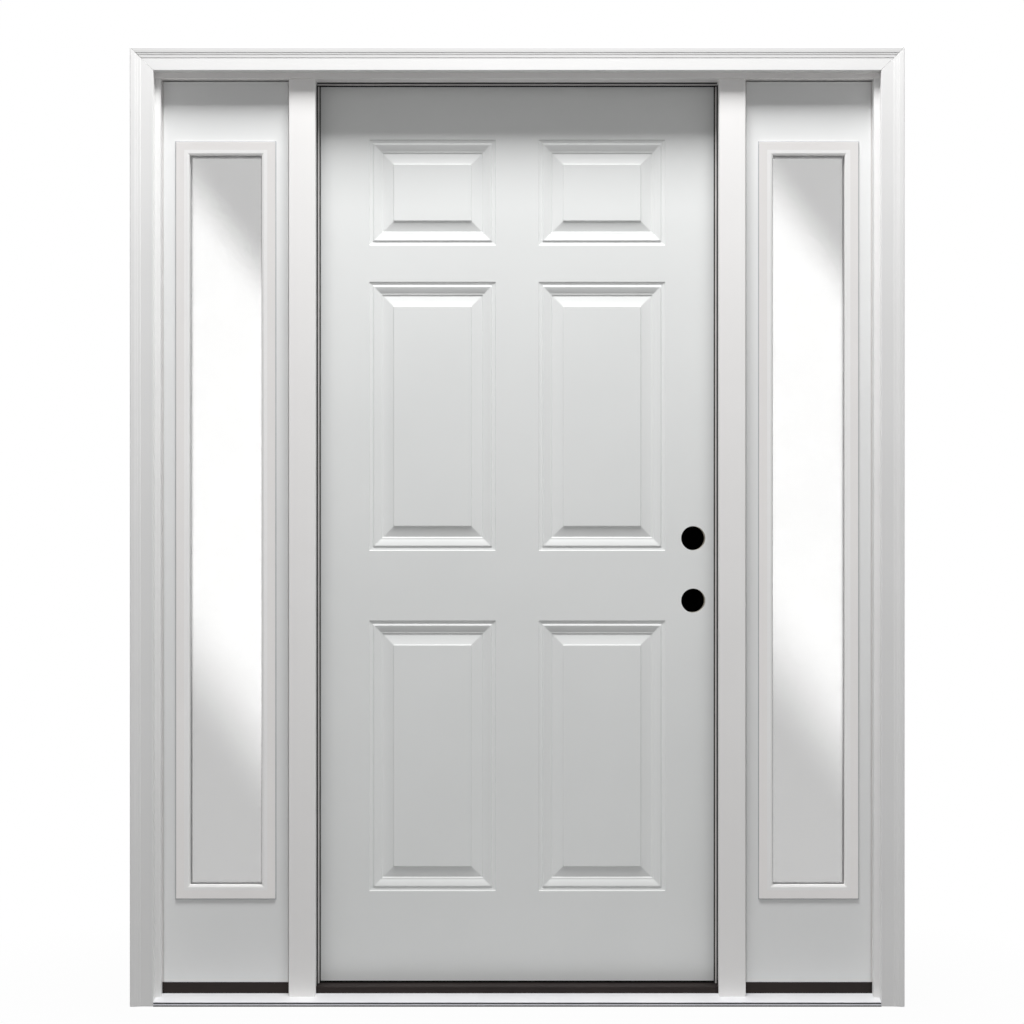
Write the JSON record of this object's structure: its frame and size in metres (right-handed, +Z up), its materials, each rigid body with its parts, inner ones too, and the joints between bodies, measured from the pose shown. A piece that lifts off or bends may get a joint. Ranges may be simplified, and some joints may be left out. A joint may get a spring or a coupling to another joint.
{
  "type": "door with sidelights",
  "caption": "White prehung entry unit: a panelled inswing door with lock bores between fixed glazed sidelights, in a rabbeted frame with moulded casing and a sill.",
  "frame": {"origin": "under the middle of the sill, in the plane of the jambs' exterior edges", "axes": "+X to the right seen from outside, +Y into the building, +Z up"},
  "size_m": [1.7018, 0.1596, 2.1082],
  "materials": {
    "frame_paint": "satin white primer on wood",
    "steel_skin": "satin white primer",
    "sidelight_panel": "satin white primer",
    "lite_frame": "white",
    "glass": "clear",
    "spacer": "matt",
    "seal": "matt",
    "sill_aluminium": "mill",
    "sill_composite": "dark brown",
    "hinge_metal": "satin",
    "door_edge_wood": "primed",
    "foam": "rigid foam"
  },
  "bodies": {
    "frame": {"casing_head": "frame_paint", "head_jamb": "frame_paint", "head_weatherstrip": "seal", "hinge_jamb_leaves": "hinge_metal", "hinge_weatherstrip": "seal", "latch_weatherstrip": "seal", "left_casing_leg": "frame_paint", "left_exterior_lite_frame": "lite_frame", "left_glass_spacer": "spacer", "left_inner_pane": "glass", "left_interior_lite_frame": "lite_frame", "left_mull_cover": "frame_paint", "left_mull_post": "frame_paint", "left_outer_pane": "glass", "left_side_jamb": "frame_paint", "left_sidelight_panel": "sidelight_panel", "left_sidelight_sill_block": "sill_composite", "left_sidelight_stops": "frame_paint", "right_casing_leg": "frame_paint", "right_exterior_lite_frame": "lite_frame", "right_glass_spacer": "spacer", "right_inner_pane": "glass", "right_interior_lite_frame": "lite_frame", "right_mull_cover": "frame_paint", "right_mull_post": "frame_paint", "right_outer_pane": "glass", "right_side_jamb": "frame_paint", "right_sidelight_panel": "sidelight_panel", "right_sidelight_sill_block": "sill_composite", "right_sidelight_stops": "frame_paint", "sill_base": "sill_composite", "sill_deck": "sill_aluminium", "threshold_cap": "sill_composite"},
    "door": {"door_bottom_block": "door_edge_wood", "door_core": "foam", "door_exterior_skin": "steel_skin", "door_hinge_stile": "door_edge_wood", "door_interior_skin": "steel_skin", "door_lock_block": "door_edge_wood", "door_lower_latch_stile": "door_edge_wood", "door_sweep": "seal", "door_top_block": "door_edge_wood", "door_upper_latch_stile": "door_edge_wood", "hinge_door_leaves": "hinge_metal"}
  },
  "joints": [
    {"name": "door_swing", "type": "hinge", "parent": "frame", "child": "door", "pos_m": [-0.45653, 0.1222, 1], "axis": [0, 0, 1], "range_deg": [0, 170]}
  ]
}
